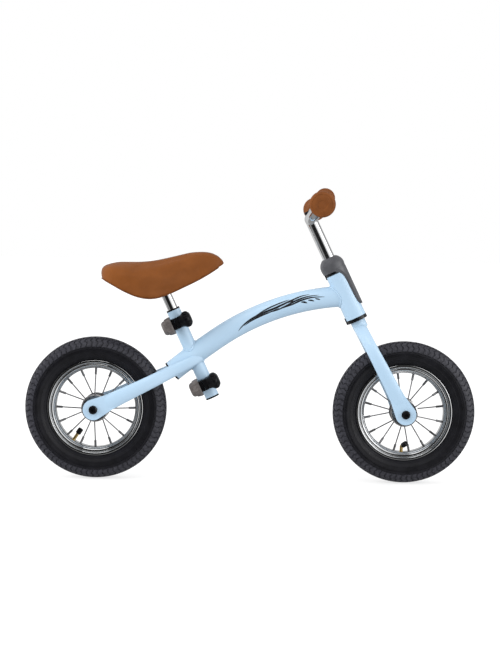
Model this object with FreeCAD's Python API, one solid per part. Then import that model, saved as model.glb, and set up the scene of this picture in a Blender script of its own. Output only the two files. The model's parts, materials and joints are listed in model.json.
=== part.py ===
import FreeCAD, Part
import math
import os

from FreeCAD import Placement, Rotation, Vector

# A child's balance bike, in millimetres.
# Origin: on the ground, midway between the two axles. +X is forward, +Y the rider's left, +Z up.
# Everything is drawn with the steering straight. Four slanted local frames carry most of the work:
#   STEER  origin at the lower headset cup, local Z up the steering axis, local X forward
#   SEAT   origin at the top of the seat tube, local Z up the seat tube, local X forward
#   FORK   origin at the front axle, local Z up the fork legs
#   STAY   origin at the rear axle, local Z up the rear legs

ORIGIN = Vector(0, 0, 0)
FORWARD = Vector(1, 0, 0)
SIDE = Vector(0, 1, 0)
UP = Vector(0, 0, 1)
VIA = "via"                 # marks the middle point of an arc in a turned profile

# ---------------------------------------------------------------- driving dimensions
WHEEL_R = 129.0             # outside of the ten-inch tyre
WHEELBASE = 560.0
TYRE_HALF_WIDTH = 24.0

STEER_X, STEER_Z = 191.4, 297.7     # where the steering axis crosses the lower headset cup
STEER_TILT = 25.8           # lean of the steering axis from vertical, top to the rear
SEAT_X, SEAT_Z = -141.6, 309.0      # middle of the seat tube's upper end
SEAT_TILT = 25.0
FORK_TILT = 28.3            # lean of the fork legs
STAY_RISE = 26.5            # slope of the rear legs from horizontal

HEAD_R, HEAD_BORE_R = 19.0, 16.5
HEAD_BOTTOM, HEAD_TOP = 3.0, 90.0   # along the steering axis
CUP_R = 19.5
CUP_DEPTH = 7.0             # how far each headset cup reaches into the head tube
UPPER_CUP_H, LOWER_CUP_H = 5.0, 6.4
CUP_TAB_HALF, CUP_TAB_T = 4.0, 1.3
BEARING_R, BEARING_H = 15.2, 7.0
STEERER_R, STEERER_BORE_R = 12.7, 11.15
STEERER_TOP = 112.0
LOCK_NUT_R, LOCK_NUT_H = 17.0, 9.0
CROWN_R = 13.5
CROWN_BOTTOM, CROWN_TOP = -19.0, -3.8
COVER_R, COVER_TOP = 22.4, 121.2

BAR_R = 11.1                # 22.2 mm handlebar tube
STEM_R = 11.05
TUBE_WALL = 1.6
TEE_UP = 198.0              # handlebar centre along the steering axis
STEM_BOTTOM = 62.0
STEM_BOLT_R, STEM_HEAD_R = 4.0, 6.5
STEM_HEAD_H = 5.0
WEDGE_SLOPE, WEDGE_LENGTH = 35.0, 16.0
BAR_TILT = 31.0             # lean of the plane that the handlebar is bent in, forward from vertical
BAR_CORNERS = ((20.0, 0.0), (62.0, 45.8), (174.0, 25.0))    # sideways and up in that plane
BAR_BEND_R = (30.0, 32.0)
GRIP_START = 84.0           # sideways, from the middle of the handlebar

SEAT_TUBE_R, SEAT_TUBE_BORE_R = 12.5, 11.0
SEAT_TUBE_LENGTH = 174.0
SEAT_SLOT_HALF, SEAT_SLOT_LENGTH = 1.0, 24.0
END_RING_H = 3.0            # black ring and plugs that cap the ends of the tubes
PLUG_STUB, BUSH_LENGTH = 10.0, 28.0
POST_R = 9.5
POST_TOP, POST_BOTTOM = 58.0, -110.0
CLAMP_DOWN = (25.0, 146.0)  # both clamps, down from the top of the seat tube
CLAMP_HALF_H = 10.3
CLAMP_BOLT_Y = -30.0        # clamp bolts pass on the right side of the tube
CLAMP_BOLT_R = 3.0
CLAMP_BOLT_BACK, CLAMP_BOLT_FRONT = -22.0, 20.6
CLAMP_BAND_T = 3.5
CLAMP_SLIT = (-3.6, -2.4)
EAR_BACK, EAR_FRONT = -9.6, 3.7
EAR_OUT, EAR_ROUND = 8.0, 3.0
NUT_BACK, KNOB_FRONT = -28.6, 26.4

MAIN_DEPTH, MAIN_WIDTH = 38.0, 30.0
MAIN_START_X, MAIN_START_Z = -140.2, 197.8
MAIN_START_SLOPE = 39.2
MAIN_BENDS = ((1432.0, 4.0), (441.0, 32.4))     # radius and turn of the two long bends

DROPOUT_IN, DROPOUT_T, DROPOUT_R = 40.0, 5.0, 18.5
VENT_R = 1.5                # weld vent of each rear leg
AXLE_R = 6.0
AXLE_BOLT_R, AXLE_HEAD_R, AXLE_WASHER_R = 3.9, 7.0, 7.8
AXLE_END = 51.5             # outer face of each axle bolt from the mid plane

SPOKES = 16
SPOKE_R = 1.1
HUB_END = 28.0
FLANGE_R, FLANGE_IN, FLANGE_OUT = 25.0, 15.5, 18.5
SPOKE_HOLE_R = 22.0
SPOKE_OUT = 20.1            # where a spoke leaves its flange, from the mid plane
SPOKE_RIM_Y = 2.5           # where it meets the rim, from the mid plane
NIPPLE_R, NIPPLE_LENGTH = 2.1, 12.0
RIM_R, RIM_BED_R, RIM_BED_T = 87.0, 72.0, 1.8
TUBE_RING_R, TUBE_R, TUBE_SKIN = 105.0, 17.5, 1.2
VALVE_R = 3.0
WHEEL_BEARING_R, WHEEL_BEARING_H = 11.0, 8.0

RUNNING = 0.05              # radial clearance of a shaft in its hole
DRILLED = 0.2               # radial clearance of a bolt or nipple in its hole
GAP = 0.3                   # clearance between pieces that move past each other
BEYOND = 1.0                # how far a cutter reaches past the face it opens
FAR = 300.0                 # farther than any piece reaches from its own local frame


def leaning(x, z, degrees):
    """Local frame at (x, 0, z) whose Z axis leans back from vertical by so many degrees."""
    return Placement(Vector(x, 0, z), Rotation(SIDE, -degrees))


STEER = leaning(STEER_X, STEER_Z, STEER_TILT)
SEAT = leaning(SEAT_X, SEAT_Z, SEAT_TILT)
FORK = leaning(WHEELBASE / 2, WHEEL_R, FORK_TILT)
STAY = leaning(-WHEELBASE / 2, WHEEL_R, STAY_RISE - 90)


# ---------------------------------------------------------------- small helpers
def placed(shape, frame):
    """Copy of a shape drawn in a local frame, set where that frame lies on the bike."""
    copy = shape.copy()
    copy.Placement = frame.multiply(copy.Placement)
    return copy


def moved(shape, offset):
    return placed(shape, Placement(offset, Rotation()))


def mirrored(shape):
    """The same piece on the other side of the bike."""
    return shape.mirror(ORIGIN, SIDE)


def both_sides(shape):
    return Part.makeCompound([shape, mirrored(shape)])


def joined(shapes):
    """One solid from touching or overlapping shapes."""
    first, *rest = shapes
    return first.fuse(rest).removeSplitter()


def rod(radius, start, end, along=UP):
    """Cylinder on a local axis between two distances along it."""
    return Part.makeCylinder(radius, end - start, along * start, along)


def pipe(radius, bore, start, end, along=UP):
    return rod(radius, start, end, along).cut(rod(bore, start, end, along))


def rod_between(radius, start, end):
    return Part.makeCylinder(radius, (end - start).Length, start, end - start)


def block(low, high):
    """Box between two corners."""
    size = [b - a for a, b in zip(low, high)]
    return Part.makeBox(*size, Vector(*low))


def prism(outline, along, length):
    """Straight solid from a closed list of points."""
    return Part.Face(Part.makePolygon(outline + outline[:1])).extrude(along * length)


def turned(profile, along=UP):
    """Solid of revolution from (radius, distance) corners; one marked VIA is the middle of an arc."""
    outward = SIDE if along == FORWARD else FORWARD
    corners = list(profile) + [profile[0]]
    points = [outward * corner[0] + along * corner[1] for corner in corners]
    edges = []
    for i, corner in enumerate(corners[:-1]):
        if VIA in corner:
            edges.append(Part.Arc(points[i - 1], points[i], points[i + 1]).toShape())
        elif VIA not in corners[i + 1]:
            edges.append(Part.LineSegment(points[i], points[i + 1]).toShape())
    return Part.Face(Part.Wire(edges)).revolve(ORIGIN, along, 360)


def flipped(half):
    """The other half of a wheel part's profile, run back the other way."""
    return [(r, -y, *mark) for r, y, *mark in reversed(half)]


def oval(centre, across, half_across, through, half_through):
    """Closed ellipse round a centre, its longer half axis first."""
    shape = Part.Ellipse(centre + across * half_across, centre + through * half_through, centre)
    return Part.Wire(shape.toShape())


def flattened_tube(stations, shrink=0.0):
    """Loft along a path in the local Y-Z plane; each station is (y, z, width, thickness)."""
    wires = []
    for i, (y, z, width, thickness) in enumerate(stations):
        before = stations[max(i - 1, 0)]
        after = stations[min(i + 1, len(stations) - 1)]
        heading = Vector(0, after[0] - before[0], after[1] - before[1]).normalize()
        through = heading.cross(FORWARD)
        wires.append(oval(Vector(0, y, z), FORWARD, width / 2 - shrink, through, thickness / 2 - shrink))
    return Part.makeLoft(wires, True)


def hex_socket(across_flats, depth, top):
    """Six-sided hole for the top of a bolt head, along the local Z axis."""
    corner_r = across_flats / math.sqrt(3)
    corners = []
    for i in range(6):
        angle = math.radians(60 * i)
        corners.append(Vector(corner_r * math.cos(angle), corner_r * math.sin(angle), top - depth))
    return prism(corners, UP, depth + BEYOND)


# ---------------------------------------------------------------- frame tubes
def main_tube_solid(shrink=0.0):
    """The long curved oval tube as a filled solid of two tangent bends."""
    slope = math.radians(MAIN_START_SLOPE)
    at = Vector(MAIN_START_X, 0, MAIN_START_Z)
    spans = []
    for radius, turn in MAIN_BENDS:
        inward = Vector(math.sin(slope), 0, -math.cos(slope))
        centre = at + inward * radius
        section = oval(at, inward, MAIN_DEPTH / 2 - shrink, SIDE, MAIN_WIDTH / 2 - shrink)
        spans.append(Part.Face(section).revolve(centre, SIDE, turn))
        at = centre + Rotation(SIDE, turn).multVec(at - centre)
        slope -= math.radians(turn)
    return joined(spans)


def seat_tube_rod():
    """Whole outside of the seat tube, for shaping what is welded to it."""
    return placed(rod(SEAT_TUBE_R, -SEAT_TUBE_LENGTH, 0), SEAT)


def head_tube():
    return placed(pipe(HEAD_R, HEAD_BORE_R, HEAD_BOTTOM, HEAD_TOP), STEER)


def main_tube():
    """Oval tube, coped against the head tube, with the seat tube passing through it."""
    head = placed(rod(HEAD_R, HEAD_BOTTOM, HEAD_TOP), STEER)
    return main_tube_solid().cut([main_tube_solid(TUBE_WALL), head, seat_tube_rod()])


def main_tube_plug():
    """Black plug in the rear end of the main tube: a cap and a stub that fits inside."""
    end = Placement(Vector(MAIN_START_X, 0, MAIN_START_Z), Rotation(SIDE, -MAIN_START_SLOPE))
    cap_outline = oval(ORIGIN, UP, MAIN_DEPTH / 2, SIDE, MAIN_WIDTH / 2)
    shrink = TUBE_WALL + GAP
    stub_outline = oval(ORIGIN, UP, MAIN_DEPTH / 2 - shrink, SIDE, MAIN_WIDTH / 2 - shrink)
    cap = Part.Face(cap_outline).extrude(FORWARD * -END_RING_H)
    stub = Part.Face(stub_outline).extrude(FORWARD * PLUG_STUB)
    return placed(joined([cap, stub]), end)


def seat_tube():
    """Straight tube with a clamping slot at both ends, on the left side."""
    top, bottom = -END_RING_H / 2, -SEAT_TUBE_LENGTH + END_RING_H / 2
    half, outside = SEAT_SLOT_HALF, SEAT_TUBE_R + BEYOND
    tube = pipe(SEAT_TUBE_R, SEAT_TUBE_BORE_R, bottom, top)
    for low in (bottom, top - SEAT_SLOT_LENGTH):
        tube = tube.cut(block((-half, 0, low), (half, outside, low + SEAT_SLOT_LENGTH)))
    return placed(tube, SEAT)


# Left legs from the dropout up: distance sideways, distance up the leg, width, thickness.
REAR_LEG = (
    (42.5, 12, 31, 3), (42.5, 32, 29, 7.5), (42.4, 58, 27.2, 11), (41.3, 90, 25, 12.5),
    (36, 120, 23.5, 12.5), (27, 145, 22.5, 12), (20.6, 166, 22, 11), (17.8, 184, 21, 9.5),
    (14.4, 200, 18.5, 7.5), (9.5, 214, 15, 6),
)
REAR_LEG_HOLLOW = REAR_LEG[2:7]
FORK_LEG = (
    (42.5, 12, 31, 3), (42.5, 32, 27.4, 7.5), (42.3, 58, 25, 11), (41.8, 88, 24, 12.5), (40, 112, 22.8, 14),
    (34.5, 135, 22, 14.5), (24.5, 153, 22.2, 15), (12, 168, 22.8, 15.5), (1, 179, 23, 16),
)
FORK_LEG_HOLLOW = FORK_LEG[2:]
REAR_SHOULDER, FORK_SHOULDER = (12.2, 46.0), (11.0, 48.0)   # half width and height where a blade ends


def dropout_blade(shoulder):
    """Flat end of a leg: a disc round the axle that runs tangent into a narrower shoulder."""
    half_width, height = shoulder
    bearing = math.atan2(half_width, height) + math.acos(DROPOUT_R / math.hypot(half_width, height))
    touch_x, touch_z = DROPOUT_R * math.sin(bearing), DROPOUT_R * math.cos(bearing)
    corners = ((touch_x, touch_z), (half_width, height), (-half_width, height), (-touch_x, touch_z))
    wedge = prism([Vector(x, DROPOUT_IN, z) for x, z in corners], SIDE, DROPOUT_T)
    return joined([wedge, rod(DROPOUT_R, DROPOUT_IN, DROPOUT_IN + DROPOUT_T, SIDE)])


def leg(stations, hollow, shoulder):
    """Left leg in its own frame: flattened hollow tube with a drilled dropout."""
    axle_hole = rod(AXLE_BOLT_R + DRILLED, DROPOUT_IN - BEYOND, DROPOUT_IN + DROPOUT_T + BEYOND, SIDE)
    solid = flattened_tube(stations).fuse(dropout_blade(shoulder))
    return solid.cut([flattened_tube(hollow, TUBE_WALL), axle_hole])


def rear_leg():
    """Left rear leg, coped against the main tube and the seat tube, with a small weld vent inside."""
    solid = leg(REAR_LEG, REAR_LEG_HOLLOW, REAR_SHOULDER)
    vent = Part.makeCylinder(VENT_R, REAR_LEG[3][0], Vector(0, 0, REAR_LEG[3][1]), SIDE)
    return placed(solid.cut(vent), STAY).cut([main_tube_solid(), main_tube_plug(), seat_tube_rod()])


def fork_leg():
    """Left fork leg, cut where the two legs meet and round the crown sleeve."""
    solid = leg(FORK_LEG, FORK_LEG_HOLLOW, FORK_SHOULDER)
    right_half = block((-FAR, -FAR, 0), (FAR, 0, FAR))
    crown = placed(rod(CROWN_R, CROWN_BOTTOM, STEERER_TOP), STEER)
    return placed(solid.cut(right_half), FORK).cut(crown)


# ---------------------------------------------------------------- head
def crown_sleeve():
    """Sleeve round the lower end of the steerer that carries the fork legs."""
    return placed(pipe(CROWN_R, STEERER_R, CROWN_BOTTOM, CROWN_TOP), STEER)


def steerer_tube():
    return placed(pipe(STEERER_R, STEERER_BORE_R, CROWN_BOTTOM, STEERER_TOP), STEER)


# Each cup: height of its face on the head tube, outer face, inner end, and end of the tab at its back.
UPPER_CUP = (HEAD_TOP, HEAD_TOP + UPPER_CUP_H, HEAD_TOP - CUP_DEPTH, HEAD_TOP - 4)
LOWER_CUP = (HEAD_BOTTOM, HEAD_BOTTOM - LOWER_CUP_H, HEAD_BOTTOM + CUP_DEPTH, HEAD_BOTTOM + 6)


def bearing_room(outer, inner):
    """Space of one headset bearing, flush with the outer face of its cup."""
    depth = math.copysign(BEARING_H, inner - outer)
    return rod(BEARING_R, min(outer, outer + depth), max(outer, outer + depth))


def headset_cup(face, outer, inner, tab_end):
    """Flanged cup with a small tab at the back, outside the head tube."""
    flange = rod(CUP_R, min(face, outer), max(face, outer))
    skirt = rod(HEAD_BORE_R, min(face, inner), max(face, inner))
    back = -HEAD_R - 0.1
    tab = block((back - CUP_TAB_T, -CUP_TAB_HALF, min(outer, tab_end)),
                (back, CUP_TAB_HALF, max(outer, tab_end)))
    bore = rod(STEERER_R + GAP, CROWN_BOTTOM, STEERER_TOP)
    return placed(joined([flange, skirt, tab]).cut([bore, bearing_room(outer, inner)]), STEER)


def headset_bearings():
    """Upper and lower bearing, each a plain ring that runs on the steerer."""
    bore = rod(STEERER_R + RUNNING, CROWN_BOTTOM, STEERER_TOP)
    rings = [bearing_room(outer, inner).cut(bore) for _, outer, inner, _ in (UPPER_CUP, LOWER_CUP)]
    return placed(Part.makeCompound(rings), STEER)


def steerer_lock_nut():
    """Round nut on top of the upper bearing, hidden under the cover."""
    low = HEAD_TOP + UPPER_CUP_H + GAP
    top = low + LOCK_NUT_H
    profile = [(STEERER_R, low), (LOCK_NUT_R, low), (LOCK_NUT_R, top - 2), (LOCK_NUT_R - 2, top),
               (STEERER_R, top)]
    return placed(turned(profile), STEER)


# Half width of the cover's tongue at each height up the steering axis, from its tip.
TONGUE = (
    (0, 22.2), (8.2, 23.6), (12, 27.4), (13.8, 36), (14.6, 50), (15.2, 72), (16.8, 84), (19.4, 92),
    (22.4, 99),
)


def head_cover():
    """Grey cap round the stem with a tapered tongue down the front of the head tube."""
    base = HEAD_TOP + UPPER_CUP_H
    bore, hole = CUP_R + 0.1, STEM_R + 0.55
    dome = turned([
        (bore, base), (21.4, base), (COVER_R, base + 8), (20.2, base + 18.6, VIA), (12.6, COVER_TOP),
        (hole, COVER_TOP), (hole, COVER_TOP - 2.4), (12.2, COVER_TOP - 2.4), (18.2, base + 17.2, VIA),
        (bore, base + 8),
    ])
    left = [Vector(0, y, z) for y, z in TONGUE]
    right = [Vector(0, -y, z) for y, z in TONGUE[:0:-1]]
    curve = Part.BSplineCurve()
    curve.interpolate(right + left)
    top = Part.LineSegment(left[-1], right[0])
    outline = Part.Wire([curve.toShape(), top.toShape()])
    tongue = pipe(COVER_R, bore, 0, base + 3).common(Part.Face(outline).extrude(FORWARD * FAR))
    return placed(joined([dome, tongue]), STEER)


# ---------------------------------------------------------------- handlebar
def bar_point(across, rise):
    """Point of the handlebar's plane, from the middle of the bar."""
    lean = math.radians(BAR_TILT)
    tee = STEER.multVec(UP * TEE_UP)
    return tee + SIDE * across + Vector(math.sin(lean), 0, math.cos(lean)) * rise


def bar_path(side):
    """Half of the handlebar's centre line: straight runs joined by tangent arcs."""
    corners = [bar_point(0, 0)] + [bar_point(side * y, rise) for y, rise in BAR_CORNERS]
    edges = []
    start = corners[0]
    for i, radius in enumerate(BAR_BEND_R):
        before, corner, after = corners[i:i + 3]
        back = (before - corner).normalize()
        ahead = (after - corner).normalize()
        half_angle = back.getAngle(ahead) / 2
        reach = radius / math.tan(half_angle)
        apex = corner + (back + ahead).normalize() * (radius / math.sin(half_angle) - radius)
        first, last = corner + back * reach, corner + ahead * reach
        edges.append(Part.LineSegment(start, first).toShape())
        edges.append(Part.Arc(first, apex, last).toShape())
        start = last
    edges.append(Part.LineSegment(start, corners[-1]).toShape())
    return Part.Wire(edges)


def bar_solid(radius):
    """Handlebar as a filled rod; its two halves meet at the stem."""
    section = Part.Wire(Part.makeCircle(radius, bar_point(0, 0), SIDE))
    return joined([bar_path(side).makePipeShell([section], True, False) for side in (-1, 1)])


STEM_HEAD_LOW = TEE_UP + BAR_R - 0.6


def handlebar_tube():
    """Bent tube with a flat seat and a hole for the stem bolt."""
    head_seat = placed(rod(STEM_HEAD_R + RUNNING, STEM_HEAD_LOW, STEM_HEAD_LOW + STEM_HEAD_H), STEER)
    bolt_hole = placed(rod(STEM_BOLT_R + DRILLED, STEM_BOTTOM, FAR), STEER)
    return bar_solid(BAR_R).cut([bar_solid(BAR_R - TUBE_WALL), head_seat, bolt_hole])


def above_wedge():
    """Everything above the slanted joint between the stem and its wedge."""
    joint = Placement(UP * STEM_BOTTOM, Rotation(SIDE, WEDGE_SLOPE))
    return placed(block((-FAR, -FAR, 0), (FAR, FAR, FAR)), joint)


def stem_tube():
    tube = pipe(STEM_R, STEM_R - TUBE_WALL, STEM_BOTTOM - WEDGE_LENGTH, TEE_UP).common(above_wedge())
    return placed(tube, STEER).cut(bar_solid(BAR_R))


def stem_wedge():
    wedge = rod(STEM_R - RUNNING, STEM_BOTTOM - WEDGE_LENGTH, STEM_BOTTOM + WEDGE_LENGTH)
    return placed(wedge.cut([above_wedge(), rod(STEM_BOLT_R, 0, TEE_UP)]), STEER)


def stem_bolt():
    """Long bolt that pulls the wedge up into the stem."""
    low, top = STEM_BOTTOM - WEDGE_LENGTH + 2, STEM_HEAD_LOW + STEM_HEAD_H
    shaft = STEM_BOLT_R - RUNNING
    bolt = turned([(0, low), (shaft, low), (shaft, STEM_HEAD_LOW), (STEM_HEAD_R, STEM_HEAD_LOW),
                   (STEM_HEAD_R, top - 1), (STEM_HEAD_R - 1, top), (0, top)])
    return placed(bolt.cut(hex_socket(6, 3, top)), STEER)


# Grip outline: radius against distance from its inner end.
GRIP = (
    (BAR_R, 0), (15.8, 0), (17.2, 1.4), (17.2, 3.6), (15, 6.5), (15.7, 14, VIA), (15, 22), (15.8, 32, VIA),
    (15, 42), (15.8, 52, VIA), (15.2, 62), (16.6, 71), (21.2, 80), (22.3, 87, VIA), (19.6, 94.4),
    (15, 96.2, VIA), (9, 97), (0, 97), (0, 93.2), (BAR_R, 93.2),
)


def grip():
    """Left rubber grip with soft waves and a big rounded end."""
    (inner_y, inner_rise), (outer_y, outer_rise) = BAR_CORNERS[1:]
    fall = (outer_rise - inner_rise) / (outer_y - inner_y)
    start = bar_point(GRIP_START, inner_rise + fall * (GRIP_START - inner_y))
    end = bar_point(outer_y, outer_rise)
    return placed(turned(GRIP), Placement(start, Rotation(UP, end - start)))


# ---------------------------------------------------------------- seat
def seat_post_bush():
    """Black ring on the seat tube with a sleeve that guides the post."""
    ring = rod(SEAT_TUBE_R, -END_RING_H / 2, END_RING_H / 2)
    sleeve = rod(SEAT_TUBE_BORE_R, -BUSH_LENGTH, 0)
    bore = rod(POST_R + RUNNING, -BUSH_LENGTH - BEYOND, END_RING_H)
    return placed(joined([ring, sleeve]).cut(bore), SEAT)


def seat_tube_plug():
    """Black plug in the lower end of the seat tube."""
    low = -SEAT_TUBE_LENGTH - END_RING_H / 2
    cap = rod(SEAT_TUBE_R, low, low + END_RING_H)
    stub = rod(SEAT_TUBE_BORE_R, low, low + END_RING_H + PLUG_STUB)
    return placed(joined([cap, stub]), SEAT)


def seat_post():
    return placed(pipe(POST_R, POST_R - TUBE_WALL, POST_BOTTOM, POST_TOP), SEAT)


# Saddle sections from tail to nose: place along X, half width, top and lower edge.
SADDLE = (
    (-271, 13, 379, 368.5), (-267, 36, 386, 363.5), (-258, 51, 390, 359), (-243, 62, 392.1, 351.5),
    (-220, 68.5, 392.5, 340), (-196, 68, 393.1, 331.5), (-172, 61, 396.1, 329.9), (-147, 49, 401.7, 337.5),
    (-120, 37, 408.7, 351.5), (-97, 29.5, 413.9, 363.5), (-77, 25, 414.1, 375.5), (-61, 18, 407.5, 386.5),
    (-50, 6, 396.5, 392.5),
)
# Half of a section: how far out, in half widths, and how far up, in heights.
SADDLE_SECTION = ((0, 1), (0.42, 0.975), (0.76, 0.87), (0.94, 0.64), (0.96, 0.34), (1, 0.08), (0.97, 0))
BASE_T, BASE_INSET = 4.0, 6.0
SOCKET_R, SOCKET_LENGTH = 14.0, 40.0


def saddle_solid(stations, lift=0.0):
    """Loft through sections across the bike, each a crowned top over a flat underside."""
    wires = []
    for x, half_width, top, bottom in stations:
        height = top - bottom
        right = [Vector(x, half_width * y, bottom + lift + height * z) for y, z in SADDLE_SECTION]
        left = [Vector(x, -p.y, p.z) for p in right[:0:-1]]
        crown = Part.BSplineCurve()
        crown.interpolate(left + right)
        underside = Part.LineSegment(right[-1], left[0])
        wires.append(Part.Wire([crown.toShape(), underside.toShape()]))
    return Part.makeLoft(wires, True)


def base_plate():
    """Stiff plate let into the underside of the cushion, a little inside its edge all round."""
    left = [Vector(x, half_width - BASE_INSET, 0) for x, half_width, _, _ in SADDLE[2:-2]]
    right = [Vector(p.x, -p.y, 0) for p in reversed(left)]
    flanks = []
    for flank in (left, right):
        curve = Part.BSplineCurve()
        curve.interpolate(flank)
        flanks.append(curve.toShape())
    nose = Part.LineSegment(left[-1], right[0]).toShape()
    tail = Part.LineSegment(right[-1], left[0]).toShape()
    outline = Part.Face(Part.Wire([flanks[0], nose, flanks[1], tail]))
    column = outline.extrude(UP * 2 * FAR)
    return saddle_solid(SADDLE).common(column).cut(saddle_solid(SADDLE, BASE_T))


def post_socket():
    return placed(rod(SOCKET_R, POST_TOP + 3 - SOCKET_LENGTH, POST_TOP + 3), SEAT)


def saddle_pad():
    return saddle_solid(SADDLE).cut([base_plate(), post_socket()])


def saddle_base():
    """Base plate and the socket that takes the seat post."""
    bore = placed(rod(POST_R, POST_BOTTOM, POST_TOP), SEAT)
    socket = post_socket().common(saddle_solid(SADDLE))
    return joined([base_plate(), socket]).cut(bore)


# ---------------------------------------------------------------- seat tube clamps
NUT = (
    (0, EAR_BACK), (16, EAR_BACK), (16.5, -11.2), (16.3, -15, VIA), (15.2, -20.6), (13.6, -21.6),
    (13.6, -23.2), (12.4, -26.2, VIA), (9.6, NUT_BACK), (0, NUT_BACK),
)
KNOB = (
    (CLAMP_BOLT_R + RUNNING, EAR_FRONT + GAP), (10.4, EAR_FRONT + GAP), (11.4, 9, VIA), (14.6, 13.6),
    (15.8, 16.4), (15.8, 19.4), (14.4, 22.4), (8.4, KNOB_FRONT), (0, KNOB_FRONT),
    (0, CLAMP_BOLT_FRONT + 0.4), (CLAMP_BOLT_R + RUNNING, CLAMP_BOLT_FRONT + 0.4),
)
KNOB_LOBES = 6
FLUTE_R, FLUTE_OUT, FLUTE_START = 4.6, 18.6, 9.0    # grooves between the lobes


def clamp_frame(down):
    """Frame of one clamp's bolt: local X along the bolt, local Z up the seat tube."""
    return SEAT.multiply(Placement(Vector(0, CLAMP_BOLT_Y, -down), Rotation()))


def at_both_clamps(shape):
    return Part.makeCompound([placed(shape, clamp_frame(down)) for down in CLAMP_DOWN])


def clamp_collar(down):
    """Split collar round the seat tube whose two ears take the bolt."""
    half, inside = CLAMP_HALF_H, -CLAMP_BOLT_Y
    band = moved(rod(SEAT_TUBE_R + CLAMP_BAND_T, -half, half), SIDE * inside)
    ears = block((EAR_BACK, -EAR_OUT, -half), (EAR_FRONT, inside, half))
    outer_edges = [edge for edge in ears.Edges if edge.BoundBox.YMax < 0 and edge.BoundBox.XLength > 1]
    ears = ears.makeFillet(EAR_ROUND, outer_edges)
    tube = moved(rod(SEAT_TUBE_R, -half - BEYOND, half + BEYOND), SIDE * inside)
    slit = block((CLAMP_SLIT[0], -EAR_OUT - BEYOND, -half - BEYOND), (CLAMP_SLIT[1], inside, half + BEYOND))
    bolt = rod(CLAMP_BOLT_R + 0.1, EAR_BACK - BEYOND, EAR_FRONT + BEYOND, FORWARD)
    return placed(joined([band, ears]).cut([tube, slit, bolt]), clamp_frame(down))


def clamp_nuts():
    """Domed nuts behind both clamps."""
    thread = rod(CLAMP_BOLT_R, CLAMP_BOLT_BACK, 0, FORWARD)
    return at_both_clamps(turned(NUT, FORWARD).cut(thread))


def clamp_bolts():
    return at_both_clamps(rod(CLAMP_BOLT_R, CLAMP_BOLT_BACK, CLAMP_BOLT_FRONT, FORWARD))


def clamp_knob(down):
    """Lobed hand knob with a flared neck."""
    flutes = []
    for i in range(KNOB_LOBES):
        angle = 2 * math.pi * i / KNOB_LOBES
        foot = Vector(FLUTE_START, FLUTE_OUT * math.cos(angle), FLUTE_OUT * math.sin(angle))
        flutes.append(Part.makeCylinder(FLUTE_R, KNOB_FRONT, foot, FORWARD))
    return placed(turned(KNOB, FORWARD).cut(flutes), clamp_frame(down))


# ---------------------------------------------------------------- axles
AXLE_THREAD = 18.0          # depth of the threaded hole in each end of an axle
AXLE_WASHER_H = 1.2
SPACER_R = 9.0


def axle_nodes(prefix, centre):
    """Fixed axle with its spacers and its two socket-head bolts."""
    face = DROPOUT_IN + DROPOUT_T
    thread = rod(AXLE_BOLT_R, DROPOUT_IN - AXLE_THREAD, DROPOUT_IN, SIDE)
    axle = rod(AXLE_R, -DROPOUT_IN, DROPOUT_IN, SIDE).cut([thread, mirrored(thread)])
    spacer = pipe(SPACER_R, AXLE_R + RUNNING, HUB_END + GAP, DROPOUT_IN, SIDE)
    shaft = AXLE_BOLT_R - RUNNING
    tip = DROPOUT_IN - AXLE_THREAD + 2
    seat = face + AXLE_WASHER_H
    bolt = turned([(0, tip), (shaft, tip), (shaft, face), (AXLE_WASHER_R, face), (AXLE_WASHER_R, seat),
                   (AXLE_HEAD_R, seat), (AXLE_HEAD_R, AXLE_END - 0.8), (AXLE_HEAD_R - 0.8, AXLE_END),
                   (0, AXLE_END)], SIDE)
    bolt = bolt.cut(placed(hex_socket(5, 3.4, AXLE_END), Placement(ORIGIN, Rotation(FORWARD, -90))))
    return {
        prefix + "_axle": moved(axle, centre),
        prefix + "_axle_spacers": moved(both_sides(spacer), centre),
        prefix + "_axle_bolts": moved(both_sides(bolt), centre),
    }


# ---------------------------------------------------------------- wheels
# Left halves of the wheel profiles: radius against distance from the mid plane.
TYRE_OUTSIDE = (
    (121, 19.2), (114.6, 23, VIA), (104, TYRE_HALF_WIDTH), (94.6, 20.4, VIA), (87.4, 13), (84, 13),
    (84, 9.8),
)
TYRE_INSIDE = ((87.4, 9.8), (94.6, 17, VIA), (104, 20.4))
TYRE_CAVITY_R = 125.1
RIM_PROFILE = (
    (RIM_BED_R, 7), (72.6, 8.6), (75, 10.4), (80, 12.2), (81.2, 12.6), (82.2, 15), (86.4, 15.2),
    (RIM_R, 14.6), (RIM_R, 13.3), (83.6, 13.2), (82.9, 11.4), (80.6, 10.4), (76.2, 8.8), (74.2, 6.8),
    (RIM_BED_R + RIM_BED_T, 6),
)
VALVE_FOOT, VALVE_ELBOW = 89.0, 63.0    # radii of the valve's foot in the air tube and of its elbow
VALVE_TIP = 12.0            # length beyond the elbow
CAP_R, CAP_START, CAP_END = 4.9, 4.0, 15.0      # cap, measured from the elbow
FRONT_VALVE_BEND = Vector(6.3, -8.3, 5.8)       # the front valve's tip is bent out to the right side


def wheel_point(r, degrees, y=0.0):
    """Point of a wheel from its radius, its angle up from forward, and its place sideways."""
    angle = math.radians(degrees)
    return Vector(r * math.cos(angle), y, r * math.sin(angle))


def wheel_ray(radius, low, high, degrees, y=0.0):
    """Rod that points straight out from a wheel's middle, between two distances."""
    return rod_between(radius, wheel_point(low, degrees, y), wheel_point(high, degrees, y))


def tyre():
    """Hollow tyre, open towards the rim."""
    tread, ceiling = (WHEEL_R, 0, VIA), (TYRE_CAVITY_R, 0, VIA)
    profile = [*flipped(TYRE_OUTSIDE), tread, *TYRE_OUTSIDE, *TYRE_INSIDE, ceiling, *flipped(TYRE_INSIDE)]
    return turned(profile, SIDE)


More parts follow.
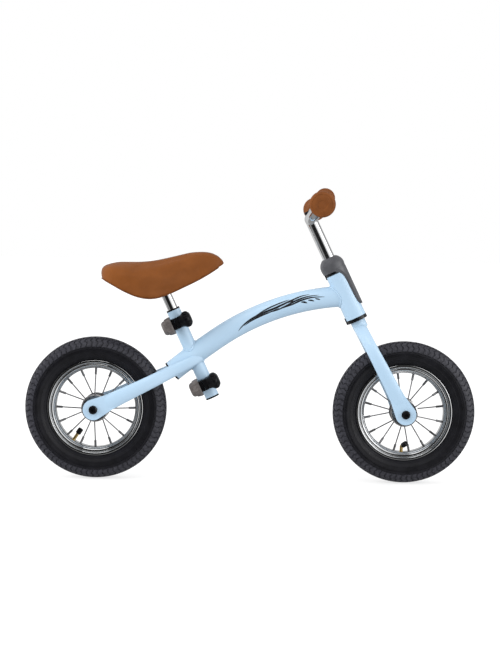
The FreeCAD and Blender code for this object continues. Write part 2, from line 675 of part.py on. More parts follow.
def inner_tube(valve_angle):
    """Air tube: a thin ring shell with a hole for its valve."""
    outer = Part.makeTorus(TUBE_RING_R, TUBE_R, ORIGIN, SIDE)
    inner = Part.makeTorus(TUBE_RING_R, TUBE_R - TUBE_SKIN, ORIGIN, SIDE)
    return outer.cut([inner, wheel_ray(VALVE_R + RUNNING, RIM_BED_R, TUBE_RING_R, valve_angle)])


def hub(spokes):
    """Flanged hub with a recess for a bearing at each end, drilled for its spokes."""
    recess = HUB_END - WHEEL_BEARING_H
    half = [
        (AXLE_R + 1, recess), (WHEEL_BEARING_R, recess), (WHEEL_BEARING_R, HUB_END), (13, HUB_END),
        (13.6, HUB_END - 0.6), (13.6, FLANGE_OUT), (22.8, FLANGE_OUT), (FLANGE_R, FLANGE_OUT - 1.7),
        (FLANGE_R, FLANGE_IN), (15.5, FLANGE_IN), (12.6, FLANGE_IN - 5),
    ]
    drills = []
    for side, angle in spokes:
        inner = wheel_point(SPOKE_HOLE_R, angle, side * (FLANGE_IN - 1))
        outer = wheel_point(SPOKE_HOLE_R, angle, side * (FLANGE_OUT + 1))
        drills.append(rod_between(SPOKE_R + 0.1, inner, outer))
    return turned(half + flipped(half), SIDE).cut(drills)


def spoke_line(side, angle):
    """Where a spoke leaves its flange, where it meets the rim, and its direction."""
    start = wheel_point(SPOKE_HOLE_R, angle, side * SPOKE_OUT)
    end = wheel_point(RIM_BED_R, angle, side * SPOKE_RIM_Y)
    return start, end, (end - start).normalize()


def spoke_shaft(side, angle):
    """Straight part of a spoke, which stops inside its nipple."""
    start, end, along = spoke_line(side, angle)
    return rod_between(SPOKE_R, start, end - along * 3)


def spoke(side, angle):
    """Straight spoke with an elbow at its flange and a head behind it."""
    elbow = wheel_point(SPOKE_HOLE_R, angle, side * SPOKE_OUT)
    head_in = wheel_point(SPOKE_HOLE_R, angle, side * (FLANGE_IN - 0.9))
    head_out = wheel_point(SPOKE_HOLE_R, angle, side * FLANGE_IN)
    return joined([
        spoke_shaft(side, angle), Part.makeSphere(SPOKE_R, elbow), rod_between(SPOKE_R, elbow, head_in),
        rod_between(SPOKE_R + 0.8, head_in, head_out),
    ])


def nipple(side, angle):
    _, end, along = spoke_line(side, angle)
    body = rod_between(NIPPLE_R, end - along * NIPPLE_LENGTH, end + along * (RIM_BED_T - 0.9))
    return body.cut(spoke_shaft(side, angle))


def rim(spokes, valve_angle):
    """Steel rim with a tilted hole for each nipple and one for the valve."""
    holes = [wheel_ray(VALVE_R + GAP, VALVE_ELBOW, RIM_R, valve_angle)]
    for side, angle in spokes:
        _, end, along = spoke_line(side, angle)
        holes.append(rod_between(NIPPLE_R + DRILLED, end - along * 4, end + along * 6))
    return turned([*RIM_PROFILE, *flipped(RIM_PROFILE)], SIDE).cut(holes)


def rim_tape(valve_angle):
    """Thin band over the nipple ends."""
    low = RIM_BED_R + RIM_BED_T + 0.1
    band = pipe(low + 0.9, low, -5.5, 5.5, SIDE)
    return band.cut(wheel_ray(VALVE_R + GAP, VALVE_ELBOW, RIM_R, valve_angle))


def valve_line(angle, bend):
    """Elbow of a valve and the direction of its tip, which points at the hub unless it is bent."""
    tip = bend or wheel_point(-1, angle)
    return wheel_point(VALVE_ELBOW, angle), Vector(tip).normalize()


def valve_stem(angle, bend):
    elbow, tip = valve_line(angle, bend)
    foot = wheel_point(VALVE_FOOT, angle)
    parts = [rod_between(VALVE_R, foot, elbow), rod_between(VALVE_R, elbow, elbow + tip * VALVE_TIP)]
    if bend:
        parts.append(Part.makeSphere(VALVE_R, elbow))
    return joined(parts)


def valve_cap(angle, bend):
    """Round cap whose bore fits the end of the valve."""
    elbow, tip = valve_line(angle, bend)
    cap = rod_between(CAP_R, elbow + tip * CAP_START, elbow + tip * CAP_END)
    return cap.cut(rod_between(VALVE_R, elbow, elbow + tip * VALVE_TIP))


def wheel_bearings():
    """Bearing at each end of a hub, each a plain ring that runs on the axle."""
    return both_sides(pipe(WHEEL_BEARING_R, AXLE_R + RUNNING, HUB_END - WHEEL_BEARING_H, HUB_END, SIDE))


def wheel_nodes(prefix, centre, first_angle, valve_angle, valve_bend=None):
    """One whole wheel; its spokes go to the right and left flange by turns from the first angle."""
    spokes = [((-1) ** (i + 1), first_angle + 360 / SPOKES * i) for i in range(SPOKES)]
    shapes = {
        "tyre": tyre(),
        "inner_tube": inner_tube(valve_angle),
        "rim": rim(spokes, valve_angle),
        "rim_tape": rim_tape(valve_angle),
        "hub": hub(spokes),
        "spokes": Part.makeCompound([spoke(*place) for place in spokes]),
        "spoke_nipples": Part.makeCompound([nipple(*place) for place in spokes]),
        "wheel_bearings": wheel_bearings(),
        "valve_stem": valve_stem(valve_angle, valve_bend),
        "valve_cap": valve_cap(valve_angle, valve_bend),
    }
    return {prefix + "_" + name: moved(shape, centre) for name, shape in shapes.items()}


# ---------------------------------------------------------------- the whole bike
def all_nodes():
    rear, front = Vector(-WHEELBASE / 2, 0, WHEEL_R), Vector(WHEELBASE / 2, 0, WHEEL_R)
    left_rear_leg, left_fork_leg, left_grip = rear_leg(), fork_leg(), grip()
    nodes = {
        "head_tube": head_tube(),
        "main_tube": main_tube(),
        "seat_tube": seat_tube(),
        "rear_leg_left": left_rear_leg,
        "rear_leg_right": mirrored(left_rear_leg),
        "main_tube_plug": main_tube_plug(),
        "seat_tube_plug": seat_tube_plug(),
        "seat_post_bush": seat_post_bush(),
        "upper_clamp_collar": clamp_collar(CLAMP_DOWN[0]),
        "lower_clamp_collar": clamp_collar(CLAMP_DOWN[1]),
        "clamp_nuts": clamp_nuts(),
        "clamp_bolts": clamp_bolts(),
        "upper_clamp_knob": clamp_knob(CLAMP_DOWN[0]),
        "lower_clamp_knob": clamp_knob(CLAMP_DOWN[1]),
        "headset_upper_cup": headset_cup(*UPPER_CUP),
        "headset_lower_cup": headset_cup(*LOWER_CUP),
        "headset_bearings": headset_bearings(),
        "head_cover": head_cover(),
        "steerer_tube": steerer_tube(),
        "steerer_lock_nut": steerer_lock_nut(),
        "crown_sleeve": crown_sleeve(),
        "fork_leg_left": left_fork_leg,
        "fork_leg_right": mirrored(left_fork_leg),
        "stem_tube": stem_tube(),
        "stem_wedge": stem_wedge(),
        "stem_bolt": stem_bolt(),
        "handlebar_tube": handlebar_tube(),
        "grip_left": left_grip,
        "grip_right": mirrored(left_grip),
        "seat_post": seat_post(),
        "saddle_base": saddle_base(),
        "saddle_pad": saddle_pad(),
    }
    nodes.update(axle_nodes("rear", rear))
    nodes.update(axle_nodes("front", front))
    nodes.update(wheel_nodes("rear", rear, 0.0, 236.25))
    nodes.update(wheel_nodes("front", front, 31.75, 268.0, FRONT_VALVE_BEND))
    return nodes


os.makedirs("parts", exist_ok=True)
for name, shape in all_nodes().items():
    shape.exportStep("parts/" + name + ".step")
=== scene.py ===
import json
import math

import bmesh
import bpy
from mathutils import Matrix, Quaternion, Vector


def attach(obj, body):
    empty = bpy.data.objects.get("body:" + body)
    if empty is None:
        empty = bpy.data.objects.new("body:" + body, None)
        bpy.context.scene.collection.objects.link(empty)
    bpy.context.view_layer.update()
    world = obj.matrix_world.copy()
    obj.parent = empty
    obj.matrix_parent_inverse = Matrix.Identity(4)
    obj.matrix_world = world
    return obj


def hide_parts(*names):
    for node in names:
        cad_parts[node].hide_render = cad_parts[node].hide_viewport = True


# A child's balance bike, in metres. +X is forward, +Y the rider's left, +Z up.
# The tubes, fittings, hubs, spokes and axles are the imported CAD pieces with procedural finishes.
# Tyres, rims, saddle cover, grips, knobs, nuts, valve caps, side flourish and weld beads are made here.

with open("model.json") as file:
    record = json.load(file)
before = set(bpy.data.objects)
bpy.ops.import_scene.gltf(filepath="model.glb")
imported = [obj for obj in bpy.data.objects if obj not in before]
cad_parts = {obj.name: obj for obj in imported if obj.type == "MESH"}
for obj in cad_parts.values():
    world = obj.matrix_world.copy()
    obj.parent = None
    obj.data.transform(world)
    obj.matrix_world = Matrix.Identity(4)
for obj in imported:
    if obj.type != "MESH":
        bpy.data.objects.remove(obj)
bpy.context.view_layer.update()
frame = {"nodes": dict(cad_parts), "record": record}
MM = 0.001

# Driving dimensions.
WHEEL_R = 0.129
HALF_WHEELBASE = 0.28
REAR_AXLE, FRONT_AXLE = Vector((-HALF_WHEELBASE, 0, WHEEL_R)), Vector((HALF_WHEELBASE, 0, WHEEL_R))


# ---------------------------------------------------------------- procedural finishes
class Finish:
    """One node material; each method adds a layer to its shader."""

    def __init__(self, name, **uniform):
        self.material = bpy.data.materials.new(name)
        self.material.use_nodes = True
        self.nodes = self.material.node_tree.nodes
        self.link = self.material.node_tree.links.new
        self.shader = self.nodes["Principled BSDF"]
        self.place = self.nodes.new("ShaderNodeTexCoord").outputs["Object"]
        self.normal = None
        for socket, value in uniform.items():
            self.shader.inputs[socket.replace("_", " ")].default_value = value

    def noise(self, size, detail=2.0, stretch=(1, 1, 1)):
        """Cloudy pattern whose features are about size metres across."""
        mapping = self.nodes.new("ShaderNodeMapping")
        mapping.inputs["Scale"].default_value = stretch
        self.link(self.place, mapping.inputs["Vector"])
        texture = self.nodes.new("ShaderNodeTexNoise")
        texture.inputs["Scale"].default_value = 1 / size
        texture.inputs["Detail"].default_value = detail
        self.link(mapping.outputs["Vector"], texture.inputs["Vector"])
        return texture.outputs["Fac"]

    def cells(self, size):
        """Pebble pattern, low along the creases between cells."""
        texture = self.nodes.new("ShaderNodeTexVoronoi")
        texture.feature = "DISTANCE_TO_EDGE"
        texture.inputs["Scale"].default_value = 1 / size
        self.link(self.place, texture.inputs["Vector"])
        return texture.outputs["Distance"]

    def ramp(self, factor, stops):
        node = self.nodes.new("ShaderNodeValToRGB")
        band = node.color_ramp
        while len(band.elements) < len(stops):
            band.elements.new(0.5)
        for element, (at, colour) in zip(band.elements, stops):
            element.position = at
            element.color = (*colour, 1)
        self.link(factor, node.inputs["Fac"])
        return node.outputs["Color"]

    def vector(self, operation, first, second=(0, 0, 0)):
        node = self.nodes.new("ShaderNodeVectorMath")
        node.operation = operation
        self.link(first, node.inputs[0])
        node.inputs[1].default_value = second
        return node.outputs["Value" if operation == "LENGTH" else "Vector"]

    def colour(self, factor, *stops):
        self.link(self.ramp(factor, stops), self.shader.inputs["Base Color"])

    def roughness(self, factor, smoothest, roughest):
        stops = ((0.3, (smoothest,) * 3), (0.7, (roughest,) * 3))
        self.link(self.ramp(factor, stops), self.shader.inputs["Roughness"])

    def bump(self, height, depth, strength=1.0):
        node = self.nodes.new("ShaderNodeBump")
        node.inputs["Strength"].default_value = strength
        node.inputs["Distance"].default_value = depth
        self.link(height, node.inputs["Height"])
        if self.normal is not None:
            self.link(self.normal, node.inputs["Normal"])
        self.normal = node.outputs["Normal"]
        self.link(self.normal, self.shader.inputs["Normal"])


def paint_finish():
    """Pastel blue gloss enamel: faint orange peel under a clear coat."""
    finish = Finish("pastel_enamel", Coat_Weight=0.45, Coat_Roughness=0.12)
    finish.colour(finish.noise(0.09, 3), (0.35, (0.41, 0.58, 0.745)), (0.65, (0.438, 0.603, 0.765)))
    finish.roughness(finish.noise(0.012, 3), 0.3, 0.4)
    finish.bump(finish.noise(0.0022), 0.0001, 0.25)
    return finish.material


def chrome_finish():
    """Polished plating with slight ripple and a few hazy patches."""
    finish = Finish("polished_chrome", Metallic=1.0)
    finish.colour(finish.noise(0.03, 3), (0.3, (0.73, 0.74, 0.75)), (0.7, (0.81, 0.815, 0.82)))
    finish.roughness(finish.noise(0.02, 4), 0.05, 0.11)
    finish.bump(finish.noise(0.03), 0.0001, 0.1)
    return finish.material


def steel_finish():
    """Bright steel of hubs, axles and their nuts, with fine drawing marks."""
    finish = Finish("drawn_steel", Metallic=1.0)
    finish.colour(finish.noise(0.006, 4), (0.3, (0.52, 0.52, 0.53)), (0.7, (0.68, 0.68, 0.68)))
    finish.roughness(finish.noise(0.003, 3), 0.2, 0.34)
    finish.bump(finish.noise(0.0012), 0.00005, 0.3)
    return finish.material


def spoke_finish():
    """Greyer drawn wire of the spokes and their nipples."""
    finish = Finish("spoke_wire", Metallic=1.0)
    finish.colour(finish.noise(0.006, 4), (0.3, (0.22, 0.22, 0.23)), (0.7, (0.32, 0.32, 0.33)))
    finish.roughness(finish.noise(0.003, 3), 0.3, 0.42)
    finish.bump(finish.noise(0.0012), 0.00004, 0.3)
    return finish.material


def moulded_finish(name, dark, light, smoothest, roughest, grain=0.0009, depth=0.00006, specular=0.5):
    """Moulded plastic with a fine spark-eroded grain."""
    finish = Finish(name, Specular_IOR_Level=specular)
    finish.colour(finish.noise(0.014, 4), (0.35, dark), (0.65, light))
    finish.roughness(finish.noise(0.005, 4), smoothest, roughest)
    finish.bump(finish.noise(grain, 3), depth, 0.5)
    return finish.material


def black_steel_finish():
    """Glossy black oxide of the bolts."""
    finish = Finish("black_oxide_steel", Metallic=0.15)
    finish.colour(finish.noise(0.004, 4), (0.35, (0.004, 0.004, 0.005)), (0.65, (0.009, 0.009, 0.011)))
    finish.roughness(finish.noise(0.003, 3), 0.16, 0.26)
    finish.bump(finish.noise(0.0007, 3), 0.00004, 0.4)
    return finish.material


def brass_finish():
    """Dull yellow brass of the valves."""
    finish = Finish("valve_brass", Metallic=1.0)
    finish.colour(finish.noise(0.004, 4), (0.3, (0.62, 0.42, 0.14)), (0.7, (0.8, 0.6, 0.26)))
    finish.roughness(finish.noise(0.003, 3), 0.2, 0.38)
    finish.bump(finish.noise(0.0009), 0.00005, 0.4)
    return finish.material


SHOULDER_R = (0.109, 0.113)     # where the side wall's colour turns into the tread's


def rubber_finish():
    """Tyre rubber: near black on the side walls and a cool grey on the tread, partly dust and partly a
    painted sheen that stands in for light catching the tread.
    """
    finish = Finish("tyre_rubber_skin", Specular_IOR_Level=0.32)
    side_shades = ((0.3, (0.004, 0.004, 0.006)), (0.7, (0.009, 0.009, 0.013)))
    # The tread's lighter grey is partly dust and partly painted sheen, in place of light glancing off the
    # tread blocks.
    tread_dust_and_sheen_shades = ((0.3, (0.02, 0.02, 0.026)), (0.7, (0.046, 0.046, 0.058)))
    side = finish.ramp(finish.noise(0.02, 5), side_shades)
    tread = finish.ramp(finish.noise(0.004, 5), tread_dust_and_sheen_shades)
    offset = finish.vector("SUBTRACT", finish.vector("ABSOLUTE", finish.place), FRONT_AXLE)
    radius = finish.vector("LENGTH", finish.vector("MULTIPLY", offset, (1, 0, 1)))
    blend = finish.nodes.new("ShaderNodeMix")
    blend.data_type = "RGBA"
    from_side_to_tread = ((SHOULDER_R[0], (0, 0, 0)), (SHOULDER_R[1], (1, 1, 1)))
    finish.link(finish.ramp(radius, from_side_to_tread), blend.inputs["Factor"])
    finish.link(side, blend.inputs[6])
    finish.link(tread, blend.inputs[7])
    finish.link(blend.outputs[2], finish.shader.inputs["Base Color"])
    finish.roughness(finish.noise(0.007, 4), 0.38, 0.54)
    finish.bump(finish.noise(0.0011, 4), 0.00012, 0.5)
    return finish.material


def grip_finish():
    """Brown grip rubber, matte, with a fine pebble."""
    finish = Finish("grip_rubber_skin", Specular_IOR_Level=0.22)
    finish.colour(finish.noise(0.012, 4), (0.3, (0.16, 0.047, 0.008)), (0.7, (0.205, 0.063, 0.012)))
    finish.roughness(finish.noise(0.004, 3), 0.55, 0.7)
    finish.bump(finish.cells(0.0011), 0.00012, 0.6)
    finish.bump(finish.noise(0.0007, 3), 0.00006, 0.4)
    return finish.material


def leather_finish(name, dark, light):
    """Saddle cover: pebbled grain, slight mottling, satin with a soft sheen."""
    finish = Finish(name, Specular_IOR_Level=0.17)
    finish.colour(finish.noise(0.03, 6), (0.25, dark), (0.75, light))
    finish.roughness(finish.noise(0.006, 5), 0.4, 0.56)
    finish.bump(finish.cells(0.0017), 0.00022, 0.45)
    finish.bump(finish.noise(0.0008, 4), 0.00008, 0.45)
    return finish.material


finishes = {
    "frame_paint": paint_finish(),
    "chrome": chrome_finish(),
    "steel": steel_finish(),
    "spoke_steel": spoke_finish(),
    "black_plastic": moulded_finish(
        "black_nylon", (0.003, 0.003, 0.004), (0.006, 0.006, 0.007), 0.16, 0.28, specular=0.2),
    "grey_plastic": moulded_finish(
        "grey_nylon", (0.068, 0.069, 0.077), (0.086, 0.087, 0.096), 0.3, 0.42),
    "nut_plastic": moulded_finish(
        "warm_grey_nylon", (0.085, 0.074, 0.071), (0.15, 0.134, 0.13), 0.22, 0.34),
    "black_steel": black_steel_finish(),
    "brass": brass_finish(),
    "tyre_rubber": rubber_finish(),
    "grip_rubber": grip_finish(),
    "saddle_cover": leather_finish(
        "saddle_leather", (0.168, 0.05, 0.0075), (0.215, 0.066, 0.0115)),
    "edge_leather": leather_finish(
        "saddle_edge_leather", (0.12, 0.036, 0.008), (0.16, 0.05, 0.012)),
    "flourish": moulded_finish(
        "printed_black", (0.008, 0.009, 0.012), (0.02, 0.021, 0.026), 0.25, 0.36),
}


def dress_cad_nodes():
    """Gives every CAD node the procedural finish of its record slot."""
    for part in frame["record"]["subparts"]:
        materials = frame["nodes"][part["node"]].data.materials
        finish = finishes["spoke_steel" if "spoke" in part["node"] else part["material_slot"]]
        if not materials:
            materials.append(finish)
        for i in range(len(materials)):
            materials[i] = finish


# ---------------------------------------------------------------- mesh helpers
def leaning(x, z, degrees):
    """Frame at (x, 0, z) whose Z axis leans back from vertical by so many degrees."""
    return Matrix.Translation((x, 0, z)) @ Matrix.Rotation(math.radians(-degrees), 4, "Y")


STEER = leaning(0.1914, 0.2977, 25.8)
SEAT = leaning(-0.1416, 0.309, 25.0)
TO_SIDE = Matrix.Rotation(math.radians(-90), 4, "X")    # turns local Z into +Y
TO_FRONT = Matrix.Rotation(math.radians(90), 4, "Y")    # turns local Z into +X


def blended(p, q, r, s, t):
    """Catmull-Rom value at share t of the span from q to r."""
    square, cube = 2 * p - 5 * q + 4 * r - s, 3 * q - p - 3 * r + s
    return 0.5 * (2 * q + (r - p) * t + square * t * t + cube * t ** 3)


def flowing(points, per_span):
    """Catmull-Rom curve through a list of number tuples."""
    made = []
    for i in range(len(points) - 1):
        a, b = points[max(i - 1, 0)], points[i]
        c, d = points[i + 1], points[min(i + 2, len(points) - 1)]
        for k in range(per_span):
            made.append(tuple(blended(*four, k / per_span) for four in zip(a, b, c, d)))
    return made + [tuple(points[-1])]


def skin(rings, close_rings=True, close_path=False, caps=False):
    """Points and faces of a skin through rings that all have the same number of points."""
    count = len(rings[0])
    points = [p for ring in rings for p in ring]
    faces = []
    for i in range(len(rings) if close_path else len(rings) - 1):
        low, high = i * count, (i + 1) % len(rings) * count
        for k in range(count if close_rings else count - 1):
            n = (k + 1) % count
            faces.append((low + k, low + n, high + n, high + k))
    if caps:
        faces.append(tuple(reversed(range(count))))
        faces.append(tuple(range(len(points) - count, len(points))))
    return points, faces


def piece(name, skins, finish, body, sharp=38.0, stands_for=()):
    """One Blender piece from one or more skins, joined, welded and set to ride on its body."""
    work = bmesh.new()
    for points, faces in skins:
        corners = [work.verts.new(p) for p in points]
        for face in faces:
            work.faces.new([corners[i] for i in face])
    bmesh.ops.remove_doubles(work, verts=work.verts, dist=0.00001)
    bmesh.ops.dissolve_degenerate(work, edges=work.edges, dist=0.000001)
    bmesh.ops.recalc_face_normals(work, faces=work.faces)
    mesh = bpy.data.meshes.new(name)
    work.to_mesh(mesh)
    work.free()
    mesh.shade_smooth()
    mesh.set_sharp_from_angle(angle=math.radians(sharp))
    mesh.materials.append(finishes[finish])
    made = bpy.data.objects.new(name, mesh)
    bpy.context.scene.collection.objects.link(made)
    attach(made, body)
    if stands_for:
        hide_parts(*stands_for)
    return made


def turned(profile, place, steps=96, reach=None):
    """Skin of a turned shape from (radius, distance) corners in millimetres about a frame's Z axis."""
    rings = []
    for radius, along in profile:
        ring = []
        for k in range(steps):
            angle = 2 * math.pi * k / steps
            r = radius * (reach(angle, along) if reach else 1)
            ring.append(place @ Vector((r * math.cos(angle) * MM, r * math.sin(angle) * MM, along * MM)))
        rings.append(ring)
    return skin(rings)


def cord_along(path, radius, closed=False, sides=10, ripple=0.0, waves=0):
    """Skin of a thin round strip along a path, with an optional ripple in its thickness."""
    rings = []
    for i, at in enumerate(path):
        before = path[i - 1] if closed or i else at
        after = path[(i + 1) % len(path)] if closed or i + 1 < len(path) else at
        heading = (after - before).normalized()
        across = heading.orthogonal() if i == 0 else across - heading * across.dot(heading)
        across.normalize()
        up = heading.cross(across)
        r = radius * (1 + ripple * math.sin(2 * math.pi * waves * i / len(path)))
        rings.append([at + across * r * math.cos(a) + up * r * math.sin(a)
                      for a in (2 * math.pi * k / sides for k in range(sides))])
    return skin(rings, close_path=closed, caps=not closed)


# ---------------------------------------------------------------- tyres
TREAD_LUGS = 76
TREAD_DEPTH = 1.7
SECTION_R = 103             # radius at which the middle of the tyre's section lies
# One pitch of tread: share of the pitch, and whether shoulder and inner blocks are cut away there.
PITCH = (
    (0.0, 0, 0), (0.04, 1, 0), (0.22, 1, 0), (0.26, 0, 0), (0.5, 0, 0), (0.54, 0, 1), (0.72, 0, 1),
    (0.76, 0, 0),
)
SOLID, SHOULDER, INNER, CUT = "solid", "shoulder", "inner", "cut"
# Half profile from the middle of the tread to the bead: radius, sideways, pattern, shift in pitches.
TREAD_ROWS = (
    (129, 0, SOLID, 0.1), (128.9, 2.6, SOLID, -0.1), (128.8, 3.2, CUT, -0.1), (128.65, 4.4, CUT, 0.1),
    (128.55, 4.9, INNER, 0.1), (128.1, 7.4, INNER, -0.12), (127.4, 9.8, INNER, 0.1),
    (127.2, 10.2, CUT, 0.1), (126.7, 11.5, CUT, -0.1), (126.5, 11.9, SHOULDER, -0.1),
    (124.75, 15.2, SHOULDER, 0.12), (122.8, 17.6, SHOULDER, 0.22), (121, 19.2, SHOULDER, 0.02),
    (118.3, 21, SHOULDER, -0.14), (115, 22.7, SHOULDER, 0.04), (112.2, 23.5, SHOULDER, 0.12),
    (111.7, 23.6, CUT, 0.12), (110.4, 23.75, CUT, 0),
)
# The rest of the half profile, round the bead and back inside: radius, sideways, height of the rings on it.
SIDEWALL_ROWS = (
    (109.9, 23.8, 0), (108, 23.95, 0), (107.5, 23.95, -0.7), (106.4, 24, -0.7), (105.9, 24, 0),
    (104.85, 24, 0), (104.4, 24, -0.6), (103.4, 23.95, -0.6), (102.6, 23.9, -0.9), (100.6, 23.5, -0.9),
    (98.6, 22.8, -0.75), (98.2, 22.6, -0.35), (97.6, 22.3, -0.35), (97.2, 22.1, -0.75),
    (94.6, 20.4, -0.7), (92.2, 18.6, -0.6), (91.8, 18.2, -0.2), (91.2, 17.7, -0.2), (90.8, 17.3, -0.6),
    (88.8, 15, -0.4), (87.4, 13, 0), (84, 13, 0), (84, 9.8, 0), (87.4, 9.8, 0), (94.6, 17, 0),
    (104, 20.4, 0), (116.5, 17, 0), (124.4, 6, 0),
)


def cut_depth(pattern, in_shoulder, in_inner):
    """How far the tread is cut back at one place of its pattern."""
    cut = pattern == CUT or pattern == SHOULDER and in_shoulder or pattern == INNER and in_inner
    return TREAD_DEPTH if cut else 0


def tyre_row(radius, sideways, side, depths, shift):
    """Ring of tyre points; each is sunk towards the middle of the tyre's section by its depth."""
    ring = []
    inward = Vector((SECTION_R - radius, -sideways)).normalized()
    count = TREAD_LUGS * len(PITCH)
    for k in range(count):
        share = PITCH[k % len(PITCH)][0] + shift + (0.5 if side < 0 else 0)
        angle = 2 * math.pi * (k // len(PITCH) + share) / TREAD_LUGS
        depth = depths[k % len(PITCH)]
        r, y = radius + inward.x * depth, (sideways + inward.y * depth) * side
        ring.append(Vector((r * math.cos(angle) * MM, y * MM, r * math.sin(angle) * MM)))
    return ring


def tyre_rings(side):
    """All rings of half a tyre, from the middle of its tread round the bead to its inside."""
    rings = []
    for radius, sideways, pattern, shift in TREAD_ROWS:
        depths = [cut_depth(pattern, shoulder, inner) for _, shoulder, inner in PITCH]
        rings.append(tyre_row(radius, sideways, side, depths, shift))
    for radius, sideways, height in SIDEWALL_ROWS:
        rings.append(tyre_row(radius, sideways, side, [-height] * len(PITCH), 0))
    return rings


def add_tyre(prefix, centre):
    """Tyre with a blocky tread, ringed sidewalls and beads that sit in the rim."""
    skins = [skin([[p + centre for p in ring] for ring in tyre_rings(side)]) for side in (1, -1)]
    piece(prefix + "_tyre_tread", skins, "tyre_rubber", prefix + "_wheel",
          sharp=30, stands_for=[prefix + "_tyre"])


# ---------------------------------------------------------------- rims
# Half profile of a rim: from the middle of its bed round the rolled lip and back inside.
RIM_OUTSIDE = (
    (72, 0), (72, 6), (72.1, 6.9), (72.5, 7.8), (73.1, 8.6), (74, 9.4), (74.5, 9.6), (74.9, 10.1),
    (75.4, 10.8), (76.4, 11.6), (77.8, 12.3), (79, 12.5), (79.6, 12.3), (80, 12), (80.5, 12),
    (80.9, 12.4), (81.3, 13.2), (81.8, 14.1), (82.5, 14.8), (83.5, 15.1), (84.6, 15.2), (85.6, 15.1),
    (86.4, 14.9), (86.9, 14.5), (87, 14),
)
RIM_INSIDE = (
    (86.9, 13.3), (83.6, 13.2), (82.9, 11.4), (80.6, 10.4), (76.2, 8.8), (74.2, 6.8), (73.8, 6),
    (73.8, 0),
)


def add_rim(prefix, centre):
    """Plated rim with a rolled lip, a groove under it and a curved flank."""
    skins = []
    for side in (1, -1):
        profile = [(r, y * side) for r, y in RIM_OUTSIDE + RIM_INSIDE]
        skins.append(turned(profile, Matrix.Translation(centre) @ TO_SIDE, 180))
    piece(prefix + "_rim_polished", skins, "chrome", prefix + "_wheel", sharp=50,
          stands_for=[prefix + "_rim"])


# ---------------------------------------------------------------- saddle
# Sections from tail to nose, in millimetres: place along X, half width, top and lower edge.
SADDLE = (
    (-271, 13, 379, 368.5), (-267, 36, 386, 363.5), (-258, 51, 390, 359), (-243, 62, 392.1, 351.5),
    (-220, 68.5, 392.5, 340), (-196, 68, 393.1, 331.5), (-172, 61, 396.1, 329.9),
    (-147, 49, 401.7, 337.5), (-120, 37, 408.5, 350.2), (-97, 29.5, 413.6, 361.8),
    (-77, 25, 413.8, 373.6), (-61, 18, 407.5, 384.6), (-50, 6, 396.5, 391.5),
)
SADDLE_SECTION = ((0, 1), (0.42, 0.975), (0.76, 0.87), (0.94, 0.64), (0.96, 0.34), (1, 0.08), (0.97, 0))
UNDERSIDE = (0.86, 0.6, 0.3, 0.0)
SADDLE_SLIM = 0.4           # how much slimmer the form is before it is inflated
SADDLE_SWELL = 0.0025       # the most that the inflated cover may stand out
HOLLOW_LIFT = 1.6           # how far the underside lies above the lower edge
HELD_BELOW = -0.35          # the simulation holds what faces down more than this
SWELL_STEPS = 20
EDGE_INSET, EDGE_LIFT = 2.2, 1.4


def saddle_ring(x, half_width, top, bottom):
    """Closed section: over the crown from left to right, and back along the hollow underside."""
    width, height = half_width - SADDLE_SLIM, top - bottom - SADDLE_SLIM
    right = [(y * width, bottom + z * height) for y, z in flowing(SADDLE_SECTION, 4)]
    under = [(y * width, bottom + HOLLOW_LIFT) for y in UNDERSIDE]
    outline = right + under
    left = [(-y, z) for y, z in outline[-2:0:-1]]
    return [Vector((x, y, z)) * MM for y, z in outline + left]


def inflated(form):
    """Runs a short cloth simulation on the saddle form and moves its vertices to the capped result."""
    scene = bpy.context.scene
    held = form.vertex_groups.new(name="held")
    for vertex in form.data.vertices:
        if vertex.normal.z < HELD_BELOW:
            held.add([vertex.index], 1.0, "REPLACE")
    rest = [vertex.co.copy() for vertex in form.data.vertices]
    cloth = form.modifiers.new("cover", "CLOTH")
    cloth.settings.use_pressure = True
    cloth.settings.uniform_pressure_force = 4
    cloth.settings.effector_weights.gravity = 0
    cloth.settings.vertex_group_mass = "held"
    for step in range(1, SWELL_STEPS + 1):
        scene.frame_set(step)
    posed = form.evaluated_get(bpy.context.evaluated_depsgraph_get())
    swollen = [vertex.co.copy() for vertex in posed.data.vertices]
    form.modifiers.remove(cloth)
    for vertex, start, end in zip(form.data.vertices, rest, swollen):
        move = end - start
        if move.length > SADDLE_SWELL:
            move *= SADDLE_SWELL / move.length
        vertex.co = start + move
    scene.frame_set(1)


def add_saddle():
    """Padded one-piece cover, with a darker rolled edge round its underside."""
    rings = [saddle_ring(*station) for station in flowing(SADDLE, 5)]
    cover = piece("saddle_cushion", [skin(rings, caps=True)], "saddle_cover", "seat",
                  sharp=180, stands_for=["saddle_pad"])
    remesh = cover.modifiers.new("even", "REMESH")
    remesh.mode = "VOXEL"
    remesh.voxel_size = 0.0034
    remesh.use_smooth_shade = True
    graph = bpy.context.evaluated_depsgraph_get()
    even = bpy.data.meshes.new_from_object(cover.evaluated_get(graph))
    cover.modifiers.clear()
    cover.data = even
    if not even.materials:
        even.materials.append(finishes["saddle_cover"])
    inflated(cover)
    soften = cover.modifiers.new("soften", "SMOOTH")
    soften.factor = 0.5
    soften.iterations = 2
    finer = cover.modifiers.new("finer", "SUBSURF")
    finer.levels = finer.render_levels = 1
    stations = flowing(SADDLE[1:-1], 5)
    right = [Vector((x, w - EDGE_INSET, low + EDGE_LIFT)) * MM for x, w, _, low in stations]
    left = [Vector((p.x, -p.y, p.z)) for p in reversed(right)]
    piece("saddle_edge_roll", [cord_along(right + left, 0.0012, closed=True)], "edge_leather", "seat",
          sharp=180)


